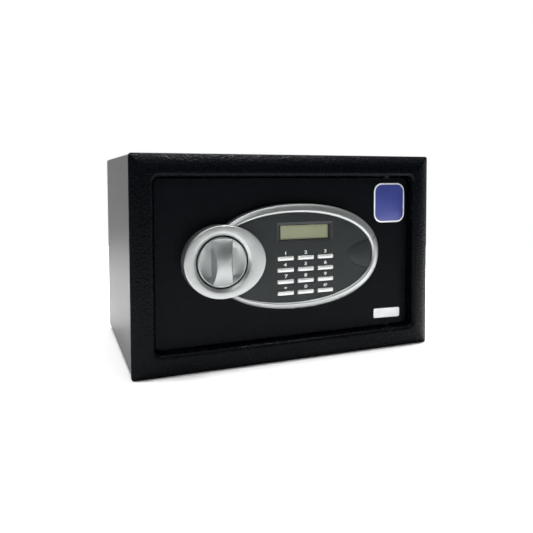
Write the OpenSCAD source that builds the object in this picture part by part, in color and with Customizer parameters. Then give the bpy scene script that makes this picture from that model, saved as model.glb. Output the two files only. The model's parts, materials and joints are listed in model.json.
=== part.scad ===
/* [Body] */
// Outer width of the safe, over the front frame
safe_w = 310; // [306:1:330]
// Outer height of the safe, over the front frame
safe_h = 200; // [198:1:215]
// Depth from the crest of the front frame to the back
safe_d = 200; // [190:1:300]
// Thickness of the body and back sheet
sheet_t = 1.5; // [1.2:0.1:1.8]
// Step between the frame's edge and the body at each side
side_step = 0.3; // [0.2:0.1:0.6]
// Step between the frame's edge and the body at the top
top_step = 0.7; // [0.4:0.1:1.2]
// Height of the feet, which is also the step at the bottom
foot_h = 3; // [2:0.5:4]
// Distance between the two holes of each anchor pair
anchor_pitch = 150; // [100:5:180]
// Diameter of the anchor holes
anchor_d = 10; // [8:1:12]

/* [Front frame] */
// Width of the pressed face between the outer edge and the opening
lip_w = 20.5; // [20:0.1:21]
// Thickness of the frame's sheet
frame_t = 2; // [1.8:0.1:2.2]
// How far the outer edge lies behind the crest
edge_drop = 5.5; // [4.5:0.5:6]
// Outer radius of the lip that turns into the opening
lip_r = 4; // [3.5:0.1:4.5]
// Corner radius of the opening
opening_r = 5.5; // [5:0.1:6]
// How deep the opening's wall runs behind the crest
wall_depth = 41; // [40:1:44]

/* [Door] */
// How far the door's face lies behind the crest
door_recess = 10.75; // [10:0.25:11.5]
// Thickness of the door plate
door_t = 4; // [3.5:0.25:4]
// Gap between the door and the opening
door_gap = 1.75; // [1.7:0.05:1.9]
// Distance from the door's right edge to the hinge axis
hinge_in = 20; // [19:0.5:21]
// Distance from the door's face back to the hinge axis
hinge_back = 7.5; // [7.2:0.1:7.6]
// Diameter of the hinge pins
hinge_d = 6; // [5.5:0.1:6]

/* [Fascia] */
// Centre of the silver ring, from the middle of the door and from the base
ring_x = 5.1; // [4.8:0.1:5.4]
// Height of the ring's centre
ring_z = 101.8; // [101:0.1:102.5]
// Half width of the ring's outline
ring_a = 89.6; // [89:0.1:90]
// Half height of the ring's outline
ring_b = 51.2; // [50:0.1:52]
// Half width of the dark panel inside the ring
panel_a = 85; // [84.5:0.1:85.2]
// Half height of the dark panel
panel_b = 43.7; // [43:0.1:44.5]
// How far the crown of the ring lies behind the frame's crest
ring_front = 1.5; // [1:0.25:2]
// How far the dark panel's face lies behind the frame's crest
panel_front = 3.2; // [3:0.1:3.5]
// Width of the display's sunk opening
display_w = 60.3; // [58:0.1:61]
// Height of the display's sunk opening
display_h = 20; // [19:0.5:21]

/* [Keys] */
// Width of a key
key_w = 17.1; // [15:0.1:18]
// Height of a key
key_h = 4.25; // [3.5:0.05:5]
// Distance between the columns
key_pitch_x = 21.25; // [20:0.05:22]
// Distance between the rows
key_pitch_z = 11.2; // [10.5:0.1:11.5]
// Travel of a key
key_travel = 0.8; // [0.4:0.1:0.8]

/* [Knob] */
// Distance of the knob's axis from the middle of the door
knob_x = -73.5; // [-75:0.5:-72]
// Height of the knob's axis
knob_z = 101.2; // [100:0.1:102]
// Radius of the knob's disc
knob_r = 23.2; // [22:0.1:23.6]
// Radius of the hole in the bezel
bezel_hole_r = 24.6; // [24.2:0.1:25]
// How far the bezel stands in front of the frame's crest
bezel_proud = 3; // [2:0.5:4]
// How far the knob's grip stands in front of the frame's crest
grip_proud = 9; // [8:0.5:11]

/* [Bolts] */
// Diameter of a locking bolt
bolt_d = 16; // [14:1:16]
// Distance between the two bolts
bolt_pitch = 72; // [70:1:76]
// Radius of the crank that throws the bolts
crank_r = 12; // [10:0.5:12]

/* [Hidden] */
$fn = 64;
eps = 0.01;
running = 0.05;
front_y = -(safe_d - grip_proud) / 2;
back_y = front_y + safe_d;
body_w = safe_w - 2 * side_step;
body_top = safe_h - top_step;
body_h = body_top - foot_h;
body_mid = (body_top + foot_h) / 2;
bend_r = 2.8;
anchor_y = 10;
body_front = front_y + edge_drop + frame_t;
open_w = safe_w - 2 * lip_w;
open_h = safe_h - 2 * lip_w - 1;
open_z = safe_h / 2;
door_w = open_w - 2 * door_gap - 0.2;
door_h = open_h - 2 * door_gap;
door_z = open_z + 0.25;
door_y = front_y + door_recess;
door_back = door_y + door_t;
door_left = -door_w / 2;
door_right = door_w / 2;
hinge_x = door_right - hinge_in;
hinge_y = door_y + hinge_back;
bolt_y = front_y + 27;
bolt_tip = door_left + 3.25;
bolt_len = 32.5;
bolt_hole_r = bolt_d / 2 + 0.5;
carriage_y = front_y + 21;
carriage_t = 3;
crank_pin_r = 3;
crank_slot_w = 7;
sol_x = 50;
sol_y = carriage_y + carriage_t / 2;
plunger_r = 3;
plunger_gap = 5.2;
plunger_len = 27;
collar_at = 4;
collar_t = 1.6;
collar_r = 5.5;
tab_top = 122;
tab_end = sol_x + 7.4;
rail_z = 115.1;
rail_r = 2;
rail_head_r = 3.5;
carriage_slot_len = 25;
sol_bottom = 139;
reset_x = 70;
reset_z = 60;
reset_r = 3;
lock_x = 72;
lock_z = 101.4;
lock_r = 9.5;
plug_r = 6;
cam_reach = 17;
cover_x0 = -126.5;
cover_x1 = 97;
cover_z0 = 31;
cover_z1 = 169;
cover_back = front_y + 38.5;
cover_t = 1.2;
cell_d = 14.5;
cell_len = 50.5;
cell_pitch = 15.4;
bay_x = 12;
bay_z = 71;
bay_w = 4 * cell_pitch + 5;
bay_h = cell_len + 8;
ring_power = 2.2;
panel_x = 1.3;
panel_z = 100.95;
panel_power = 2.11;
bezel_x = knob_x + 0.5;
bezel_left = 36.3;
bezel_right = 41.3;
bezel_b = 33.85;
end_x = 85;
end_z = 100.8;
end_a = 26.6;
end_b = 14;
end_lean = 94;
end_corners = [100, 115];
end_corner_rise = 7.7;
display_x = 11.4;
display_z = 125.1;
key_x0 = -9.5;
key_z0 = 100.35;
key_front = front_y + panel_front - 1;
mat_y = key_front + 4.3 + key_travel;
key_names = ["key_1", "key_2", "key_3", "key_4", "key_5", "key_6",
             "key_7", "key_8", "key_9", "key_star", "key_0", "key_hash"];

// A block between two corners
module block(low, high) {
    translate(low) cube(high - low);
}

// A cylinder along Y from y0 to y1
module rod_y(x, z, r, y0, y1) {
    translate([x, y0, z]) rotate([-90, 0, 0]) cylinder(r = r, h = y1 - y0);
}

// A cylinder along X from x0 to x1
module rod_x(y, z, r, x0, x1) {
    translate([x0, y, z]) rotate([0, 90, 0]) cylinder(r = r, h = x1 - x0);
}

// A flat shape drawn in X and Z, standing between y0 and y1
module upright(y0, y1) {
    translate([0, y1, 0]) rotate([90, 0, 0]) linear_extrude(y1 - y0) children();
}

// A rectangle with rounded corners, centred
module rounded(w, h, r) {
    square([w - 2 * r, h], center = true);
    square([w, h - 2 * r], center = true);
    for (sx = [-1, 1], sz = [-1, 1]) translate([sx * (w / 2 - r), sz * (h / 2 - r)]) circle(r);
}

// Points of an oval whose corners are a little fuller than an ellipse's
function oval(cx, cz, a, b, n, steps = 96) = [
    for (i = [0 : steps - 1])
        let (t = 360 * i / steps, c = cos(t), s = sin(t))
            [cx + a * sign(c) * pow(abs(c), 2 / n), cz + b * sign(s) * pow(abs(s), 2 / n)]
];

module ring_outline(inset = 0) {
    polygon(oval(ring_x, ring_z, ring_a - inset, ring_b - inset, ring_power));
}

module panel_outline(inset = 0) {
    polygon(oval(panel_x, panel_z, panel_a - inset, panel_b - inset, panel_power));
}

// The bezel's egg: two half ellipses that meet over the knob's axis
module bezel_outline(grow = 0) {
    polygon([
        for (i = [0 : 95])
            let (t = 360 * i / 96, a = (cos(t) > 0 ? bezel_right : bezel_left) + grow)
                [bezel_x + a * cos(t), knob_z + (bezel_b + grow) * sin(t)]
    ]);
}

// The pull-off end of the fascia: an oval that widens across the ring
module end_outline(grow = 0) {
    near = end_corners[0];
    far = end_corners[1];
    polygon(concat(
        [for (i = [0 : 48])
            let (t = end_lean + (360 - 2 * end_lean) * i / 48)
                [end_x + (end_a + grow) * cos(t), end_z + (end_b + grow) * sin(t)]],
        [for (s = [-1, 1], x = s < 0 ? [near, far] : [far, near])
            [x, end_z + s * (end_b + end_corner_rise + grow)]]
    ));
}

// Section of the pressed face: flat at the crest, curving back past the outer edge
module face_section(length, drop, inset) {
    flat = lip_w - lip_r;
    reach = flat - inset;
    curve_r = (reach * reach + drop * drop) / (2 * drop);
    over = 8;
    translate([flat, 0]) square([length - 2 * flat, 60]);
    translate([-over, drop + 9]) square([length + 2 * over, 60]);
    for (c = [flat, length - flat]) translate([c, curve_r]) circle(curve_r, $fn = 128);
}

// The frame's solid form: the same section pulled along both directions
module frame_form(inset, depth) {
    translate([0, depth, 0]) intersection() {
        translate([-safe_w / 2, front_y, -1]) linear_extrude(safe_h + 2)
            face_section(safe_w, edge_drop, inset);
        translate([-safe_w / 2 - 1, front_y, 0]) rotate([90, 0, 90])
            linear_extrude(safe_w + 2) mirror([1, -1]) face_section(safe_h, edge_drop, inset);
        translate([0, 0, safe_h / 2]) upright(front_y - 1, front_y + 30)
            rounded(safe_w - 2 * inset, safe_h - 2 * inset, 3);
    }
}

// ---------- cabinet ----------

module body_shell() color("#26282b") {
    difference() {
        translate([0, 0, body_mid]) upright(body_front, back_y) rounded(body_w, body_h, bend_r);
        translate([0, 0, body_mid]) upright(body_front - 1, back_y + 1)
            rounded(body_w - 2 * sheet_t, body_h - 2 * sheet_t, bend_r - sheet_t);
        for (sx = [-1, 1]) translate([sx * anchor_pitch / 2, anchor_y, foot_h - 1])
            cylinder(d = anchor_d, h = sheet_t + 2);
    }
}

module back_panel() color("#26282b") {
    gap = 0.05;
    difference() {
        translate([0, 0, body_mid]) upright(back_y - 12, back_y)
            rounded(body_w - 2 * (sheet_t + gap), body_h - 2 * (sheet_t + gap), bend_r - sheet_t);
        block([-body_w / 2 + 2 * sheet_t, back_y - 13, foot_h + 2 * sheet_t],
              [body_w / 2 - 2 * sheet_t, back_y - sheet_t, body_top - 2 * sheet_t]);
        for (sx = [-1, 1]) rod_y(sx * anchor_pitch / 2, safe_h / 2, anchor_d / 2,
                                 back_y - sheet_t - 1, back_y + 1);
    }
}

// The lip's rounding as a section: outward from the opening's wall, and back from the crest
module lip_section() {
    intersection() {
        square(lip_r);
        translate([lip_r, lip_r]) difference() {
            circle(lip_r);
            circle(lip_r - frame_t);
        }
    }
}

// The lip's rounding all the way round the opening
module lip_round() {
    cx = open_w / 2 - opening_r;
    cz = open_h / 2 - opening_r;
    for (s = [0, 1]) mirror([s, 0, 0])
        translate([open_w / 2, front_y, open_z - cz]) linear_extrude(2 * cz) lip_section();
    for (s = [0, 1]) translate([-cx, front_y, open_z]) mirror([0, 0, s])
        translate([0, 0, open_h / 2]) rotate([90, 0, 90]) linear_extrude(2 * cx) lip_section();
    for (sx = [0, 1], sz = [0, 1])
        translate([0, front_y, open_z]) mirror([sx, 0, 0]) mirror([0, 0, sz])
            translate([cx, 0, -cz]) rotate([-90, 0, 0])
                rotate_extrude(angle = 90) translate([opening_r, 0]) lip_section();
}

module front_frame() color("#1c1e21") {
    wall_y = front_y + lip_r;
    difference() {
        union() {
            difference() {
                frame_form(0, 0);
                frame_form(frame_t, frame_t);
                translate([0, 0, open_z]) upright(front_y - 2, front_y + 60)
                    rounded(open_w + 2 * lip_r, open_h + 2 * lip_r, opening_r + lip_r);
                block([-safe_w, body_front - eps, -10], [safe_w, front_y + 60, safe_h + 10]);
            }
            lip_round();
            translate([0, 0, open_z]) upright(wall_y, front_y + wall_depth) difference() {
                rounded(open_w + 2 * frame_t, open_h + 2 * frame_t, opening_r + frame_t);
                rounded(open_w, open_h, opening_r);
            }
            frame_flange();
        }
        for (sz = [-1, 1]) rod_x(bolt_y, knob_z + sz * bolt_pitch / 2, bolt_hole_r,
                                 -open_w / 2 - frame_t - 1, -open_w / 2 + 1);
        translate([hinge_x, hinge_y, 5]) cylinder(r = hinge_d / 2 + running, h = safe_h - 10);
    }
}

// The flange that turns back inside the body, with the web that joins it to the face
module frame_flange() {
    gap = sheet_t + 0.1;
    w = body_w - 2 * gap;
    h = body_h - 2 * gap;
    translate([0, 0, body_mid]) upright(body_front - frame_t, front_y + 26) difference() {
        rounded(w, h, bend_r - sheet_t);
        square([w - 2 * frame_t, h - 2 * frame_t], center = true);
    }
}

module hinge_bosses() color("#8d9094") {
    boss = 9;
    for (z = [open_z - open_h / 2 - frame_t - boss, open_z + open_h / 2 + frame_t])
        translate([hinge_x, hinge_y, z]) difference() {
            cylinder(r = 7, h = boss);
            translate([0, 0, -1]) cylinder(r = hinge_d / 2 + running, h = boss + 2);
        }
}

// Tabs that the door closes against
module door_stops() color("#1c1e21") {
    y0 = door_back + 0.4;
    reach = 7;
    for (x = [-95, 30]) {
        block([x, y0, open_z + open_h / 2 - reach], [x + 30, y0 + 2, open_z + open_h / 2]);
        block([x, y0, open_z - open_h / 2], [x + 30, y0 + 2, open_z - open_h / 2 + reach]);
    }
    block([-open_w / 2, y0, knob_z - 12], [-open_w / 2 + 5.5, y0 + 2, knob_z + 12]);
}

module floor_mat() color("#3b3d42") {
    floor_z = foot_h + sheet_t + 0.1;
    half = 148;
    difference() {
        block([-half, front_y + 46, floor_z], [half, back_y - 14, floor_z + 3]);
        for (sx = [-1, 1]) translate([sx * anchor_pitch / 2, anchor_y, floor_z - 1])
            cylinder(r = anchor_d / 2 + 3, h = 5);
    }
}

module feet() color("#151515") {
    for (sx = [-1, 1], y = [front_y + 30, back_y - 20])
        translate([sx * 132, y, 0]) union() {
            cylinder(r1 = 8, r2 = 9, h = foot_h - 1);
            translate([0, 0, foot_h - 1]) cylinder(r = 9, h = 1);
        }
}

// ---------- door ----------

module door_panel() color("#1a1c20") {
    cable_x = 12;
    difference() {
        translate([0, 0, door_z]) upright(door_y, door_back) rounded(door_w, door_h, 5);
        rod_y(knob_x, knob_z, 6.5, door_y - 1, door_back + 1);
        rod_y(lock_x, lock_z, lock_r + 0.1, door_y - 1, door_back + 1);
        block([cable_x - 10, door_y - 1, 108], [cable_x + 10, door_back + 1, 112]);
        for (p = fascia_screw_places()) rod_y(p[0], p[1], 2.2, door_y - 1, door_back + 1);
    }
}

function fascia_screw_places() = [[-24, 128], [-24, 76], [50, 128], [50, 76]];

module hinge_brackets() color("#1a1c20") {
    len = 24;
    barrel_r = 6;
    for (s = [-1, 1]) {
        low = door_z + s * (door_h / 2 - 3 - len / 2) - len / 2;
        high = low + len;
        difference() {
            union() {
                block([hinge_x - barrel_r, door_back, low], [hinge_x + barrel_r, hinge_y, high]);
                translate([hinge_x, hinge_y, low]) cylinder(r = barrel_r, h = len);
                block([hinge_x - 15, door_back, low], [hinge_x - 5, door_back + 2, high]);
            }
            translate([hinge_x, hinge_y, low - 1]) cylinder(r = hinge_d / 2, h = len + 2);
            block([hinge_x - barrel_r - 1, door_y, low - 1],
                  [hinge_x + barrel_r + 1, door_back, high + 1]);
        }
    }
}

module hinge_pins() color("#b9bcc0") {
    len = 33;
    tip = 1;
    for (s = [-1, 1])
        translate([hinge_x, hinge_y, door_z + s * (door_h / 2 + 9)]) mirror([0, 0, s > 0 ? 1 : 0]) {
            cylinder(r1 = hinge_d / 2 - tip, r2 = hinge_d / 2, h = tip);
            translate([0, 0, tip]) cylinder(r = hinge_d / 2, h = len - tip);
        }
}

// ---------- fascia ----------

// The ring's moulded edge, in three steps
module ring_steps(back) {
    upright(front_y + 3, back) ring_outline();
    upright(front_y + 2, back) ring_outline(1);
    upright(front_y + ring_front, back) ring_outline(2.2);
}

module fascia_ring() color("#c9ccce") {
    difference() {
        ring_steps(door_y);
        upright(front_y, door_y + 1) panel_outline();
        upright(front_y, door_y + 1) bezel_outline(0.2);
        upright(front_y, door_y + 1) end_outline(0.15);
    }
}

module fascia_panel() color("#3a3e40") {
    y0 = front_y + panel_front;
    wall = 2;
    lcd_w = display_w - 6;
    lcd_h = display_h - 5;
    difference() {
        union() {
            difference() {
                upright(y0, door_y) panel_outline(0.1);
                upright(y0 + wall, door_y + 1) panel_outline(1.8);
                upright(y0 - 1, door_y + 1) end_outline(0.15);
            }
            intersection() {
                upright(door_y - 1.6, door_y) end_outline(1.2);
                upright(door_y - 2, door_y + 1) panel_outline(0.1);
            }
            upright(y0 + wall - eps, door_y) for (p = fascia_screw_places())
                translate(p) circle(3.4);
            upright(y0, door_y) intersection() {
                difference() {
                    bezel_outline(2);
                    bezel_outline(0.2);
                }
                panel_outline(0.1);
            }
        }
        upright(front_y, door_y + 1) bezel_outline(0.2);
        rod_y(lock_x, lock_z, lock_r + 0.2, y0, door_y + 1);
        translate([display_x - lcd_w / 2, y0 - 1, display_z - lcd_h / 2]) cube([lcd_w, 4, lcd_h]);
        hull() {
            translate([display_x - display_w / 2, y0 - 1, display_z - display_h / 2])
                cube([display_w, 1, display_h]);
            translate([display_x - lcd_w / 2, y0 + 1.4, display_z - lcd_h / 2])
                cube([lcd_w, 0.1, lcd_h]);
        }
        for (i = [0 : 11]) {
            at = key_place(i);
            translate([at[0], 0, at[1]]) upright(y0 - 1, y0 + wall + 1)
                rounded(key_w + 0.8, key_h + 0.8, 0.9);
        }
        for (p = fascia_screw_places()) rod_y(p[0], p[1], 1.5, y0 + wall + 0.5, door_y + 1);
    }
}

// Centre of key number i, counted along the rows from the top left
function key_place(i) = [key_x0 + key_pitch_x * (i % 3), key_z0 - key_pitch_z * floor(i / 3)];

module display_window() color("#a9b0ab", 0.5) {
    y0 = front_y + panel_front + 2.05;
    translate([display_x, 0, display_z]) upright(y0, y0 + 0.8)
        rounded(display_w - 2, display_h - 1.5, 1);
}

module display_module() color("#8f9668") {
    y0 = front_y + panel_front + 2.9;
    block([display_x - 28, y0, display_z - 9], [display_x + 28, y0 + 2, display_z + 9]);
}

module keypad_mat() color("#2c2e30") {
    block([key_x0 - 9.5, mat_y, key_z0 - 35.6],
          [key_x0 + 2 * key_pitch_x + 9.5, mat_y + 0.8, key_z0 + 4]);
}

module keypad_board() color("#2f5a3a") {
    y0 = mat_y + 0.9;
    block([key_x0 - 10, y0, key_z0 - 35.55], [key_x0 + 51.5, y0 + 1.4, key_z0 + 12.65]);
}

module one_key(i) color("#dfe1df") {
    at = key_place(i);
    edge = 0.35;
    translate([at[0], 0, at[1]]) {
        upright(key_front, key_front + 3.3) rounded(key_w - 2 * edge, key_h - 2 * edge, 0.4);
        upright(key_front + edge, key_front + 3.3) rounded(key_w, key_h, 0.6);
        upright(key_front + 3.1, key_front + 4.1) rounded(key_w + 1.4, key_h + 1.4, 0.8);
    }
}

module knob_bezel() color("#c4c8ca") {
    face = front_y - bezel_proud;
    wall = 2.2;
    hole_in = bezel_hole_r + 2.7;
    difference() {
        union() {
            upright(face + 1, door_y) bezel_outline();
            upright(face + 0.4, door_y) bezel_outline(-0.5);
            upright(face, door_y) bezel_outline(-1.4);
        }
        difference() {
            upright(face + wall + 1, door_y + 1) bezel_outline(-wall);
            rod_y(knob_x, knob_z, bezel_hole_r + 2, face, door_y);
        }
        rod_y(knob_x, knob_z, bezel_hole_r, face - 1, door_y + 1);
        translate([knob_x, face - eps, knob_z]) rotate([-90, 0, 0])
            cylinder(r1 = hole_in, r2 = bezel_hole_r, h = 1.6);
    }
}

module knob() color("#b9bdbf") {
    face = front_y - bezel_proud + 0.8;
    crest = front_y - grip_proud;
    grip_half = 10;
    scoop_r = 39;
    waist = 6.3;
    crest_r = 43;
    floor_y = face + 2.5;
    difference() {
        union() {
            rod_y(knob_x, knob_z, knob_r, floor_y, face + 9);
            rod_y(knob_x, knob_z, knob_r - 0.6, floor_y - 0.6, face + 9);
            intersection() {
                rod_y(knob_x, knob_z, knob_r - 0.8, crest, floor_y + 1);
                block([knob_x - grip_half, crest, knob_z - 25],
                      [knob_x + grip_half, floor_y + 1, knob_z + 25]);
                rod_x(crest + crest_r, knob_z, crest_r, knob_x - 25, knob_x + 25);
            }
        }
        for (s = [-1, 1])
            translate([knob_x + s * (scoop_r + waist), crest - 1, knob_z])
                rotate([-90, 0, 0])
                    cylinder(r1 = scoop_r + 0.3, r2 = scoop_r - 3.4, h = floor_y - crest + 1 + eps);
        rod_y(knob_x, knob_z, knob_r - 3, face + 5.5, face + 10);
    }
    difference() {
        rod_y(knob_x, knob_z, 8, face + 5, door_y - 0.3);
        rod_y(knob_x, knob_z, 5, face + 5.6, door_y);
    }
}

module spindle() color("#9a9da1") {
    rod_y(knob_x, knob_z, 5, front_y + 5, front_y + 15.6);
}

module crank() color("#a8abaf") {
    y0 = front_y + 15.6;
    difference() {
        union() {
            rod_y(knob_x, knob_z, 17, y0, y0 + 4);
            rod_y(knob_x + crank_r * cos(45), knob_z + crank_r * sin(45), crank_pin_r,
                  y0 + 4 - eps, carriage_y + carriage_t + 2);
        }
        rod_y(knob_x - 9, knob_z - 9, 2.5, y0 - 1, y0 + 5);
    }
}

module end_cover() color("#3f4345") {
    y0 = front_y + panel_front;
    wall = 2;
    intersection() {
        upright(front_y - 1, door_y) end_outline();
        union() {
            upright(y0, y0 + wall) panel_outline(-0.5);
            difference() {
                ring_steps(door_y - 0.2);
                upright(front_y, door_y + 1) panel_outline(-0.05);
            }
            upright(y0, door_y - 2) difference() {
                panel_outline(-0.5);
                panel_outline(1.5);
            }
        }
    }
}

// ---------- override lock ----------

module lock_barrel() color("#b2b5b8") {
    difference() {
        rod_y(lock_x, lock_z, lock_r, front_y + 6, front_y + 31);
        rod_y(lock_x, lock_z, plug_r + running, front_y + 5, front_y + 32);
    }
}

module lock_nut() color("#a0a3a6") {
    difference() {
        upright(door_back, door_back + 5) translate([lock_x, lock_z]) circle(13, $fn = 6);
        rod_y(lock_x, lock_z, lock_r, door_back - 1, door_back + 6);
    }
}

module lock_plug() color("#c7b36a") {
    y0 = front_y + 5.6;
    difference() {
        rod_y(lock_x, lock_z, plug_r, y0, front_y + 34.4);
        rod_y(lock_x, lock_z, 3.2, y0 - 1, y0 + 0.8);
        block([lock_x - 0.9, y0 - 1, lock_z - 3], [lock_x + 0.9, y0 + 18, lock_z + 3]);
    }
}

module lock_cam() color("#9a9da1") {
    y0 = front_y + 31.4;
    difference() {
        union() {
            rod_y(lock_x, lock_z, 9, y0, y0 + 2);
            block([lock_x - 4, y0, lock_z - cam_reach], [lock_x + 4, y0 + 2, lock_z]);
            rod_y(lock_x, lock_z - cam_reach, 4, y0, y0 + 2);
        }
        rod_y(lock_x, lock_z, plug_r, y0 - 1, y0 + 3);
    }
}

// ---------- bolt work ----------

module bolt_carriage() color("#b4b7bb") {
    plate_x0 = bolt_tip + bolt_len;
    slot_x = knob_x + crank_r * cos(45);
    difference() {
        union() {
            block([plate_x0, carriage_y, 88], [-38, carriage_y + carriage_t, tab_top]);
            block([-40, carriage_y, 108], [tab_end, carriage_y + carriage_t, tab_top]);
            block([plate_x0, carriage_y, knob_z - bolt_pitch / 2 - 10],
                  [plate_x0 + 3, bolt_y + 9, knob_z + bolt_pitch / 2 + 10]);
        }
        block([slot_x - crank_slot_w / 2, carriage_y - 1, knob_z + 3.5],
              [slot_x + crank_slot_w / 2, carriage_y + 4, knob_z + 16.5]);
        for (x = [-34, 22])
            block([x, carriage_y - 1, rail_z - rail_r - 0.1],
                  [x + carriage_slot_len, carriage_y + 4, rail_z + rail_r + 0.1]);
    }
}

module one_bolt(z) color("#d6d8da") {
    tip = 1.5;
    translate([bolt_tip, bolt_y, z]) rotate([0, 90, 0]) union() {
        cylinder(r1 = bolt_d / 2 - tip, r2 = bolt_d / 2, h = tip);
        translate([0, 0, tip]) cylinder(r = bolt_d / 2, h = bolt_len - tip);
    }
}

module bolt_guide() color("#8d9094") {
    x0 = bolt_tip + 7.5;
    low = knob_z - 51.2;
    high = knob_z + 51.2;
    difference() {
        union() {
            block([x0, door_back + 1.9, low], [x0 + 5, bolt_y + 9.5, high]);
            block([x0, door_back, low], [x0 + 16, door_back + 2, high]);
        }
        for (s = [-1, 1]) rod_x(bolt_y, knob_z + s * bolt_pitch / 2, bolt_d / 2 + running,
                                x0 - 1, x0 + 6);
    }
}

// Shouldered studs that the carriage's slots slide on
module carriage_rails() color("#8d9094") {
    for (x = [-30, 26]) union() {
        rod_y(x, rail_z, rail_head_r, door_back, carriage_y - 0.3);
        rod_y(x, rail_z, rail_r, carriage_y - 1, carriage_y + carriage_t + 0.4);
        rod_y(x, rail_z, rail_head_r, carriage_y + carriage_t + 0.3, carriage_y + carriage_t + 1.8);
    }
}

module solenoid_body() color("#6c7075") {
    y0 = door_back + 0.2;
    difference() {
        union() {
            block([sol_x - 11, y0, sol_bottom], [sol_x + 11, y0 + 16, sol_bottom + 18.5]);
            block([sol_x - 15, y0, sol_bottom + 3], [sol_x + 15, y0 + 1.5, sol_bottom + 16]);
        }
        translate([sol_x, sol_y, sol_bottom - 1]) cylinder(r = plunger_r + 0.3, h = 17.5);
    }
}

module solenoid_plunger() color("#c3c6c9") {
    z0 = tab_top + plunger_gap;
    translate([sol_x, sol_y, z0]) union() {
        cylinder(r = plunger_r, h = plunger_len);
        translate([0, 0, collar_at]) cylinder(r = collar_r, h = collar_t);
    }
}

// Envelope of the coil spring between the solenoid and the plunger's collar
module plunger_spring() color("#aeb1b4") {
    z0 = tab_top + plunger_gap + collar_at + collar_t;
    translate([sol_x, sol_y, z0]) difference() {
        cylinder(r = 4.7, h = sol_bottom - z0);
        translate([0, 0, -1]) cylinder(r = 3.7, h = 20);
    }
}

// ---------- electronics and battery ----------

module control_board() color("#2f6a45") {
    y0 = door_back + 3;
    block([-86, y0, 42.5], [-30, y0 + 1.6, 83]);
    block([-80, y0 + 1.6, 47], [-62, y0 + 4.2, 59]);
    block([-54, y0 + 1.6, 60], [-42, y0 + 8.6, 74]);
    for (x = [-80, -70]) translate([x + 4, y0 + 1.6, 70]) rotate([-90, 0, 0])
        cylinder(r = 3.2, h = 9);
    for (x = [-83, -33], z = [46, 79.5]) rod_y(x, z, 2.5, door_back, y0);
}

module battery_box() color("#202225") {
    y0 = door_back + 4;
    y1 = cover_back - cover_t - 0.2;
    difference() {
        block([bay_x - bay_w / 2, y0, bay_z - bay_h / 2], [bay_x + bay_w / 2, y1, bay_z + bay_h / 2]);
        block([bay_x - bay_w / 2 + 1.5, y0 + 1.5, bay_z - bay_h / 2 + 1.5],
              [bay_x + bay_w / 2 - 1.5, y1 + 1, bay_z + bay_h / 2 - 1.5]);
    }
    for (i = [-1 : 1]) block([bay_x + i * cell_pitch - 0.35, y0 + 1.4, bay_z - 20],
                             [bay_x + i * cell_pitch + 0.35, y0 + 6, bay_z + 20]);
}

module battery_contacts() color("#c9ccd0") {
    y0 = door_back + 6.5;
    for (i = [0 : 3], s = [-1, 1]) {
        x = bay_x + (i - 1.5) * cell_pitch;
        z = bay_z + s * (bay_h / 2 - 2);
        block([x - 5, y0, z - 0.4], [x + 5, y0 + 12, z + 0.4]);
    }
}

module battery_cells() color("#3d6e8f") {
    y = door_back + 6 + cell_d / 2;
    for (i = [0 : 3]) translate([bay_x + (i - 1.5) * cell_pitch, y, bay_z]) {
        flip = i % 2 == 0 ? 1 : -1;
        translate([0, 0, -cell_len / 2 + (flip < 0 ? 1.2 : 0)])
            cylinder(d = cell_d, h = cell_len - 1.2);
        translate([0, 0, flip > 0 ? cell_len / 2 - 1.3 : -cell_len / 2])
            cylinder(d = 5.5, h = 1.3);
    }
}

module battery_lid() color("#1b1d20") {
    y0 = cover_back - cover_t;
    difference() {
        translate([bay_x, 0, bay_z]) upright(y0, y0 + 2.4) rounded(bay_w - 1, bay_h - 1, 2);
        for (i = [-3 : 3]) block([bay_x - 12, y0 + 1.6, bay_z - 20 + 1.6 * i],
                                 [bay_x + 12, y0 + 3, bay_z - 19.2 + 1.6 * i]);
    }
    for (s = [-1, 1]) translate([bay_x + s * (bay_w / 2 - 4), 0, bay_z])
        upright(y0 - 4, y0 + 0.1) square([1, 12], center = true);
}

module mechanism_cover() color("#1f2124") {
    lip = 9;
    mid_x = (cover_x0 + cover_x1) / 2;
    mid_z = (cover_z0 + cover_z1) / 2;
    w = cover_x1 - cover_x0;
    h = cover_z1 - cover_z0;
    difference() {
        union() {
            translate([mid_x, 0, mid_z]) upright(door_back + 0.1, cover_back)
                rounded(w, h - 2 * lip, 3);
            translate([mid_x, 0, mid_z]) upright(door_back + 0.1, door_back + cover_t + 0.1)
                rounded(w, h, 3);
        }
        translate([mid_x, 0, mid_z]) upright(door_back - 1, cover_back - cover_t)
            rounded(w - 2 * cover_t, h - 2 * lip - 2 * cover_t, 2);
        translate([bay_x, 0, bay_z]) upright(cover_back - 2, cover_back + 1)
            rounded(bay_w - 0.4, bay_h - 0.4, 2);
        for (s = [-1, 1]) rod_x(bolt_y, knob_z + s * bolt_pitch / 2, bolt_hole_r,
                                cover_x0 - 1, cover_x0 + 3);
        rod_y(reset_x, reset_z, reset_r + 0.2, cover_back - 3, cover_back + 1);
        for (p = cover_screw_places()) rod_y(p[0], p[1], 2.2, door_back - 1, door_back + 3);
    }
}

function cover_screw_places() = [
    [cover_x0 + 10, cover_z0 + 4.5], [cover_x1 - 10, cover_z0 + 4.5],
    [cover_x0 + 10, cover_z1 - 4.5], [cover_x1 - 10, cover_z1 - 4.5]
];

module reset_button() color("#b3262a") {
    rod_y(reset_x, reset_z, reset_r, cover_back - 6, cover_back + 2.2);
    rod_y(reset_x, reset_z, reset_r + 1.2, cover_back - 6.2, cover_back - cover_t - 0.3);
}

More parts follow.
